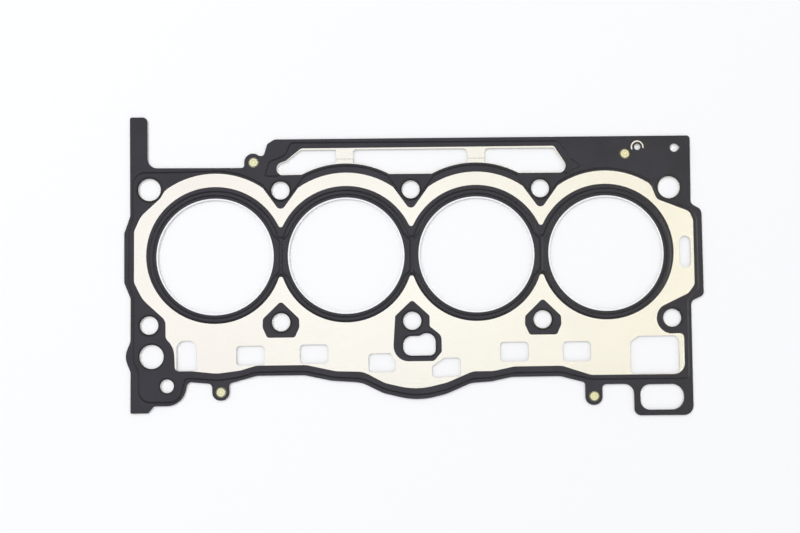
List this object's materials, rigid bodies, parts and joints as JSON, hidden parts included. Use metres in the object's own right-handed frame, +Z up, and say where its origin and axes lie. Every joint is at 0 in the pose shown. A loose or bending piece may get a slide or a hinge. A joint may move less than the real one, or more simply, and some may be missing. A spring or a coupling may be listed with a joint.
{
  "type": "cylinder head gasket",
  "caption": "Flat multi-layer steel cylinder head gasket with joined round bores, bolt holes, coolant windows, black printed sealing coating and rivets.",
  "frame": {"origin": "midway between the second and third bores, in the plane of the lowest bead crests that the gasket rests on", "axes": "+X along the row of bores, away from the oil feed hole; +Y towards the long windows; +Z up through the sheets"},
  "size_m": [0.3642, 0.1909, 0.0017],
  "materials": {
    "sheet_steel": "smooth rolled spring steel",
    "core_steel": "smooth rolled steel",
    "coating": "satin black print",
    "rivet_brass": "satin"
  },
  "bodies": {
    "root": {"upper_layer": "sheet_steel", "lower_layer": "sheet_steel", "middle_layer": "core_steel", "upper_rim_coating": "coating", "upper_bore_coating": "coating", "upper_bolt_coating_left": "coating", "upper_bolt_coating_centre": "coating", "upper_bolt_coating_right": "coating", "lower_rim_coating": "coating", "lower_bore_coating": "coating", "lower_bolt_coating_left": "coating", "lower_bolt_coating_centre": "coating", "lower_bolt_coating_right": "coating", "rivet_1": "rivet_brass", "rivet_2": "rivet_brass", "rivet_3": "rivet_brass", "rivet_4": "rivet_brass"}
  },
  "joints": []
}
